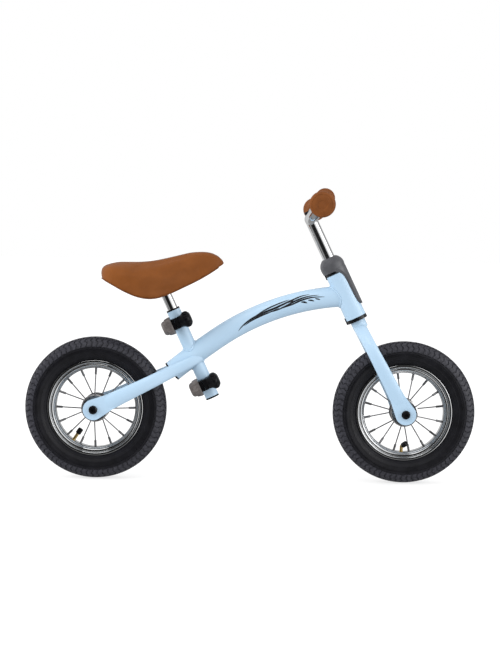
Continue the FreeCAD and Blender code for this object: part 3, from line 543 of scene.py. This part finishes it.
# ---------------------------------------------------------------- handlebar grips
GRIP = (
    (11.2, 0.2), (15.4, 0), (16.8, 0.7), (17.2, 1.6), (17.2, 3.2), (16.7, 4.4), (15.6, 5.6), (15, 7),
    (15.3, 10), (15.7, 14), (15.4, 18), (15, 22), (15.4, 26), (15.8, 32), (15.4, 38), (15, 42),
    (15.4, 46), (15.8, 52), (15.5, 58), (15.3, 62), (15.8, 67), (16.8, 71.5), (18.8, 76), (20.9, 80),
    (22, 83.6), (22.3, 87), (22, 90.4), (21, 93), (19.6, 94.6), (18.4, 95.3), (17.6, 94.9), (16.9, 95.1),
    (15, 96.1), (12, 96.8), (8.4, 97), (7.6, 96.4), (6.8, 96.5), (3, 96.8), (0, 96.9),
)


def ribbed(profile, start, end, pitch, depth):
    """Adds fine ribs to a profile between two distances."""
    made = []
    for (r0, t0), (r1, t1) in zip(profile, profile[1:]):
        made.append((r0, t0))
        if t0 < start or t1 > end or t1 - t0 < pitch:
            continue
        count = int((t1 - t0) / pitch)
        for i in range(count):
            for share, sink in ((0.15, 0), (0.35, depth), (0.65, depth), (0.85, 0)):
                u = (i + share) / count
                made.append((r0 + (r1 - r0) * u - sink, t0 + (t1 - t0) * u))
    return made + [profile[-1]]


STEM_TOP = 0.198                            # up the steering axis from its foot
BAR_LEAN = math.radians(31.0)
BAR_BEND, BAR_END = (62.0, 45.8), (174.0, 25.0)    # across the bike, and up the plane of the bar
GRIP_START = 84


def bar_point(across, rise):
    """Point in the plane of the handlebar, from the top of the stem, in millimetres."""
    tee = STEER @ Vector((0, 0, STEM_TOP))
    return tee + Vector((math.sin(BAR_LEAN) * rise, across, math.cos(BAR_LEAN) * rise)) * MM


def add_grips():
    """Ribbed grips with a big rounded end, along the last straight of the bar."""
    fall = (BAR_END[1] - BAR_BEND[1]) / (BAR_END[0] - BAR_BEND[0])
    for side, name in ((1, "left"), (-1, "right")):
        start = bar_point(GRIP_START * side, BAR_BEND[1] + fall * (GRIP_START - BAR_BEND[0]))
        end = bar_point(BAR_END[0] * side, BAR_END[1])
        place = Matrix.Translation(start) @ (end - start).to_track_quat("Z", "Y").to_matrix().to_4x4()
        outline = ribbed(GRIP, 6, 66, 1.6, 0.35)
        piece("grip_cover_" + name, [turned(outline, place, 72)], "grip_rubber", "handlebar",
              sharp=50, stands_for=["grip_" + name])


# ---------------------------------------------------------------- clamps and valves
# Both are turned about the clamp bolt, which lies beside the seat tube: distances run forward from it.
CLAMP_BOLT_SIDE = -0.03
CLAMPS_DOWN = (("upper", 25), ("lower", 146))
KNOB = (
    (3.2, 4.2), (9.8, 4.2), (10.4, 4.8), (10.5, 7), (11.2, 9.4), (12.6, 11.6), (14.2, 13.2), (15.3, 14.6),
    (15.7, 16), (15.8, 18), (15.7, 19.6), (15.1, 21.2), (14.2, 22.5), (12.4, 23.9), (10.4, 25.2), (8.8, 26),
    (7.4, 26.3), (6.6, 25.8), (3, 25.6), (0, 25.6),
)
NUT = (
    (3.2, -9.8), (15.4, -9.8), (16.1, -10.4), (16.5, -11.4), (16.45, -13), (16.2, -15), (15.9, -17.4),
    (15.4, -19.6), (14.8, -20.8), (13.7, -21.5), (13.4, -22.2), (13.7, -23), (13.5, -24.4), (12.9, -25.8),
    (11.6, -27.4), (9.8, -28.4), (6, -28.6), (5.4, -28.1), (0, -28.1),
)


def knob_lobes(angle, along):
    """Six finger hollows in the wide part of a knob."""
    share = max(0.0, 1 - abs(along - 18.2) / 6.5)
    return 1 - 0.16 * share ** 0.5 * (0.5 + 0.5 * math.cos(6 * angle)) ** 1.6


def nut_flutes(angle, along):
    """Lengthwise flutes round the wide part of a nut, and flats on its domed end."""
    if -20 < along < -11.5:
        return 1 - 0.05 * (0.5 + 0.5 * math.cos(16 * angle)) ** 2
    if -28 < along < -22.5:
        return 1 - 0.08 * (0.5 + 0.5 * math.cos(8 * angle)) ** 1.5
    return 1


def add_clamp_hardware():
    """A knob in front and a nut behind for each of the two clamps of the seat tube."""
    nuts = []
    for name, down in CLAMPS_DOWN:
        place = SEAT @ Matrix.Translation((0, CLAMP_BOLT_SIDE, -down * MM)) @ TO_FRONT
        piece(name + "_knob_grip", [turned(KNOB, place, 144, knob_lobes)], "black_plastic", name + "_knob",
              sharp=50, stands_for=[name + "_clamp_knob"])
        nuts.append(turned(NUT, place, 144, nut_flutes))
    piece("clamp_nut_caps", nuts, "nut_plastic", "frame",
          sharp=50, stands_for=["clamp_nuts"])


# Valve caps, drawn from the elbow of the valve towards its tip.
VALVE_ELBOW = 0.063
# Wheel, its axle, the valve's place round the wheel, and which way its tip is bent if not to the axle.
VALVES = (("rear", REAR_AXLE, 236.25, None), ("front", FRONT_AXLE, 268.0, (6.3, -8.3, 5.8)))
CAP = (
    (3.1, 4), (4.5, 4), (4.9, 4.5), (4.9, 12.6), (4.75, 13.6), (4.3, 14.4), (3.4, 14.9), (2, 15), (0, 15),
)


def cap_ribs(angle, along):
    """Eighteen fine ribs along the side of a cap."""
    return 1 - 0.06 * (0.5 + 0.5 * math.cos(18 * angle)) if 4.4 < along < 13 else 1


def add_valve_caps():
    """A ribbed cap on the valve of each wheel."""
    for prefix, centre, degrees, bend in VALVES:
        angle = math.radians(degrees)
        outward = Vector((math.cos(angle), 0, math.sin(angle)))
        tip = Vector(bend) if bend else -outward
        facing = tip.to_track_quat("Z", "Y").to_matrix().to_4x4()
        place = Matrix.Translation(centre + outward * VALVE_ELBOW) @ facing
        piece(prefix + "_valve_cap_ribbed", [turned(CAP, place, 64, cap_ribs)], "black_plastic",
              prefix + "_wheel", sharp=50, stands_for=[prefix + "_valve_cap"])


# ---------------------------------------------------------------- main tube: flourish and weld beads
TUBE_HALF_DEPTH, TUBE_HALF_WIDTH = 19.0, 15.0
TUBE_START, TUBE_SLOPE = Vector((-140.2, 0, 197.8)), math.radians(39.2)
TUBE_BENDS = ((1432.0, math.radians(4.0)), (441.0, math.radians(32.4)))
HEAD_TUBE_R, SEAT_TUBE_R = 0.019, 0.0125
BEAD_STEPS = 120
# Where a weld bead is looked for along a tube: from a place outside the other tube to one inside it.
SEAT_TUBE_WELDS = ((-35, -95), (-155, -95))
HEAD_WELD = (270, 349)


def tube_at(distance):
    """Centre and upward normal of the main tube at a distance along it, in millimetres."""
    at, slope = TUBE_START, TUBE_SLOPE
    for radius, turn in TUBE_BENDS:
        inward = Vector((math.sin(slope), 0, -math.cos(slope)))
        centre = at + inward * radius
        swing = min(distance / radius, turn)
        at = centre + Matrix.Rotation(swing, 3, "Y") @ (at - centre)
        slope -= swing
        distance -= swing * radius
        if distance <= 0:
            break
    return at, Vector((-math.sin(slope), 0, math.cos(slope)))


def tube_surface(distance, up, side, lift=0.0):
    """Point on the main tube's flank; up runs from -1 at its lower edge to 1 at its upper edge."""
    at, normal = tube_at(distance)
    sideways = TUBE_HALF_WIDTH * math.sqrt(max(0.0, 1 - up * up)) + lift
    return (at + normal * TUBE_HALF_DEPTH * up + Vector((0, side * sideways, 0))) * MM


# Strokes of the flourish: points (distance along the tube, height share), then the greatest width.
STROKES = (
    (((140, -0.46), (152, -0.2), (172, 0.02), (196, 0.1), (220, 0.14), (246, 0.34), (268, 0.54), (284, 0.56)),
     3.2),
    (((154, -0.28), (170, -0.14), (190, -0.08), (210, -0.06), (226, 0.02)), 2.4),
    (((180, 0.12), (202, 0.3), (226, 0.42), (248, 0.5)), 2.2),
    (((202, -0.06), (222, -0.1), (242, 0.06), (260, 0.28), (280, 0.4), (300, 0.36)), 2.6),
    (((226, -0.1), (248, -0.02), (266, 0.16), (286, 0.24), (310, 0.12)), 2.6),
    (((210, 0.12), (228, 0.24), (248, 0.28), (262, 0.24)), 1.8),
    (((266, 0.02), (272, -0.06), (277, -0.2)), 2.8),
    (((279, 0.06), (285, -0.02), (290, -0.14)), 2.5),
    (((292, 0.08), (297, 0.0), (301, -0.1)), 2.1),
)
# Across a stroke: share of its half width, and height above the paint in millimetres.
STROKE_SECTION = ((-1, -0.15), (-1, 0.06), (-0.6, 0.12), (0, 0.14), (0.6, 0.12), (1, 0.06), (1, -0.15))


STROKE_FULLNESS = 0.58      # greatest half width of a stroke, as a share of its listed width


def stroke_skin(points, width, side):
    """Tapered raised line that follows the flank of the main tube."""
    path = flowing(points, 8)
    rings = []
    for i, (along, up) in enumerate(path):
        before, after = path[max(i - 1, 0)], path[min(i + 1, len(path) - 1)]
        heading = Vector((after[0] - before[0], (after[1] - before[1]) * TUBE_HALF_DEPTH)).normalized()
        half = STROKE_FULLNESS * width * math.sin(math.pi * (i + 0.15) / (len(path) - 0.7)) ** 0.7
        back, rise = heading.y * half, heading.x * half
        rings.append([
            tube_surface(along - back * share, up + rise * share / TUBE_HALF_DEPTH, side, lift)
            for share, lift in STROKE_SECTION
        ])
    return skin(rings, caps=True)


def add_flourish():
    """The printed flourish on both flanks of the main tube."""
    skins = [stroke_skin(points, width, side) for side in (-1, 1) for points, width in STROKES]
    piece("tube_flourish", skins, "flourish", "frame", sharp=60)


def crossing(path, inside, outer, inner):
    """Point where a path enters a shape, found between a place outside it and one inside."""
    for _ in range(30):
        middle = (outer + inner) / 2
        if inside(path(middle)):
            inner = middle
        else:
            outer = middle
    return path(inner) * MM


def in_main_tube(point):
    """Whether a point in millimetres lies inside the first bend of the main tube."""
    radius = TUBE_BENDS[0][0]
    centre = TUBE_START + Vector((math.sin(TUBE_SLOPE), 0, -math.cos(TUBE_SLOPE))) * radius
    off = math.hypot(point.x - centre.x, point.z - centre.z) - radius
    return (off / TUBE_HALF_DEPTH) ** 2 + (point.y / TUBE_HALF_WIDTH) ** 2 < 1


def in_head_tube(point):
    """Whether a point in millimetres lies inside the head tube's cylinder."""
    local = STEER.inverted() @ (point * MM)
    return math.hypot(local.x, local.y) < HEAD_TUBE_R


def on_seat_tube(angle, along):
    """Point on the seat tube, in millimetres, at a distance along its axis."""
    across = Vector((SEAT_TUBE_R * math.cos(angle), SEAT_TUBE_R * math.sin(angle), along * MM))
    return SEAT @ across / MM


def on_main_tube(angle, along):
    """Point round the main tube, in millimetres, at a distance along it."""
    return tube_surface(along, math.sin(angle), math.copysign(1, math.cos(angle))) / MM


def weld_bead(surface, inside, search, radius, ripple, waves):
    """Bead where a tube, given by its surface at an angle and a distance, enters another tube."""
    ring = []
    for k in range(BEAD_STEPS):
        angle = 2 * math.pi * k / BEAD_STEPS
        ring.append(crossing(lambda along: surface(angle, along), inside, *search))
    return cord_along(ring, radius, closed=True, ripple=ripple, waves=waves)


def add_weld_beads():
    """Painted weld beads where the seat tube and the head tube meet the main tube."""
    beads = [weld_bead(on_seat_tube, in_main_tube, search, 0.0017, 0.1, 34) for search in SEAT_TUBE_WELDS]
    beads.append(weld_bead(on_main_tube, in_head_tube, HEAD_WELD, 0.0019, 0.08, 40))
    piece("weld_beads", beads, "frame_paint", "frame", sharp=180)


# ---------------------------------------------------------------- studio
def add_floor():
    """Wide pale floor with the faintest mottling."""
    work = bmesh.new()
    bmesh.ops.create_grid(work, x_segments=8, y_segments=8, size=30)
    mesh = bpy.data.meshes.new("studio_floor")
    work.to_mesh(mesh)
    work.free()
    floor = bpy.data.objects.new("studio_floor", mesh)
    bpy.context.scene.collection.objects.link(floor)
    finish = Finish("floor_paper", Roughness=0.9)
    finish.colour(finish.noise(0.4, 3), (0.3, (0.34, 0.34, 0.342)), (0.7, (0.36, 0.36, 0.36)))
    finish.shader.inputs["Emission Color"].default_value = (1, 1, 1, 1)
    away = finish.vector("LENGTH", finish.place)
    glow = finish.ramp(away, ((0.25, (0.68,) * 3), (1.0, (0.74,) * 3)))
    finish.link(glow, finish.shader.inputs["Emission Strength"])
    mesh.materials.append(finish.material)
    floor.visible_glossy = floor.visible_diffuse = False


def add_light(name, at, aim, size, power, mirrored=True):
    """Rectangular soft light; one that is not mirrored leaves no glint on polished pieces."""
    data = bpy.data.lights.new(name, "AREA")
    data.shape = "RECTANGLE"
    data.size, data.size_y = size
    data.energy = power
    light = bpy.data.objects.new(name, data)
    light.location = at
    light.rotation_euler = (Vector(aim) - Vector(at)).to_track_quat("-Z", "Y").to_euler()
    light.visible_glossy = mirrored
    bpy.context.scene.collection.objects.link(light)


# Brightness that polished pieces mirror round the horizon, from behind the bike by its rear, its right side
# and its front to behind it again; then what they mirror from overhead and from underfoot.
ROOM_BANDS = (
    (0, 0.5), (0.12, 0.7), (0.2, 0.75), (0.235, 0.3), (0.35, 0.3), (0.38, 0.03), (0.46, 0.01),
    (0.54, 0.03), (0.575, 0.95), (0.735, 1), (0.77, 0.42), (0.9, 0.4), (1, 0.5),
)
ROOM_OVERHEAD, ROOM_UNDERFOOT = 0.4, 0.32
# Brightness of the soft surround that lights the bike, from straight down to straight up.
SURROUND = ((0, 0.8), (0.35, 0.94), (0.55, 1.32), (1, 1.06))


def add_world():
    """Even white for the eye, a soft surround as light, and a banded room for reflections."""
    world = bpy.data.worlds.new("studio")
    bpy.context.scene.world = world
    world.use_nodes = True
    nodes, link = world.node_tree.nodes, world.node_tree.links.new
    parts = nodes.new("ShaderNodeSeparateXYZ")
    link(nodes.new("ShaderNodeTexCoord").outputs["Generated"], parts.inputs["Vector"])

    def calculated(operation, first, second):
        node = nodes.new("ShaderNodeMath")
        node.operation = operation
        for socket, value in zip(node.inputs, (first, second)):
            if isinstance(value, (int, float)):
                socket.default_value = value
            else:
                link(value, socket)
        return node.outputs["Value"]

    def bands(factor, stops):
        ramp = nodes.new("ShaderNodeValToRGB")
        ramp.color_ramp.interpolation = "EASE"
        while len(ramp.color_ramp.elements) < len(stops):
            ramp.color_ramp.elements.new(0.5)
        for element, (at, grey) in zip(ramp.color_ramp.elements, stops):
            element.position = at
            element.color = (grey, grey, grey, 1)
        link(factor, ramp.inputs["Fac"])
        return ramp.outputs["Color"]

    def mixed(factor, first, grey):
        blend = nodes.new("ShaderNodeMix")
        blend.data_type = "RGBA"
        link(factor, blend.inputs["Factor"])
        link(first, blend.inputs[6])
        blend.inputs[7].default_value = (grey, grey, grey, 1)
        return blend.outputs[2]

    def background(colour):
        node = nodes.new("ShaderNodeBackground")
        link(colour, node.inputs["Color"])
        return node.outputs["Background"]

    def chosen(ray, otherwise, picked):
        mix = nodes.new("ShaderNodeMixShader")
        link(nodes.new("ShaderNodeLightPath").outputs[ray], mix.inputs["Fac"])
        link(otherwise, mix.inputs[1])
        link(picked, mix.inputs[2])
        return mix.outputs["Shader"]

    rise = parts.outputs["Z"]
    towards_right = calculated("MULTIPLY", parts.outputs["Y"], -1)
    bearing = calculated("ARCTAN2", parts.outputs["X"], towards_right)
    around = bands(calculated("ADD", calculated("DIVIDE", bearing, 2 * math.pi), 0.5), ROOM_BANDS)
    room = mixed(bands(rise, ((0.7, 0), (0.9, 1))), around, ROOM_OVERHEAD)
    fall = calculated("MULTIPLY", rise, -1)
    room = mixed(bands(fall, ((0.45, 0), (0.65, 1))), room, ROOM_UNDERFOOT)
    surround = bands(calculated("ADD", calculated("MULTIPLY", rise, 0.5), 0.5), SURROUND)
    light = chosen("Is Glossy Ray", background(surround), background(room))
    shown = nodes["Background"]
    shown.inputs["Color"].default_value = (1, 1, 1, 1)
    seen = chosen("Is Camera Ray", light, shown.outputs["Background"])
    link(seen, nodes["World Output"].inputs["Surface"])


def add_studio():
    add_floor()
    add_world()
    add_light("key", (-0.7, -2.0, 2.6), (0, 0, 0.25), (1.8, 0.9), 8)
    add_light("fill", (2.4, -1.6, 1.3), (0.1, 0, 0.2), (0.5, 1.8), 6)
    add_light("top", (0.2, 0.5, 2.6), (0, 0, 0.2), (2.4, 1.2), 2)
    add_light("rear_strip", (-2.4, -0.6, 0.9), (-0.2, 0, 0.15), (0.5, 1.6), 30, mirrored=False)
    add_light("front_strip", (2.4, -0.5, 0.9), (0.2, 0, 0.15), (0.7, 2.0), 10)
    bpy.context.scene.view_settings.view_transform = "Standard"


def add_camera():
    """Long lens at the bike's right side, a little above its middle."""
    data = bpy.data.cameras.new("camera")
    data.lens = 72.8
    camera = bpy.data.objects.new("camera", data)
    eye, aim = Vector((0.0186, -2.45, 0.4318)), Vector((-0.0013, 0, 0.2658))
    roll = Quaternion((0, 0, 1), math.radians(0.877))
    camera.location = eye
    camera.rotation_mode = "QUATERNION"
    camera.rotation_quaternion = (aim - eye).to_track_quat("-Z", "Y") @ roll
    bpy.context.scene.collection.objects.link(camera)
    bpy.context.scene.camera = camera


# ---------------------------------------------------------------- the whole scene
add_camera()
add_studio()
dress_cad_nodes()
for wheel, axle in (("rear", REAR_AXLE), ("front", FRONT_AXLE)):
    add_tyre(wheel, axle)
    add_rim(wheel, axle)
add_saddle()
add_grips()
add_clamp_hardware()
add_valve_caps()
add_flourish()
add_weld_beads()
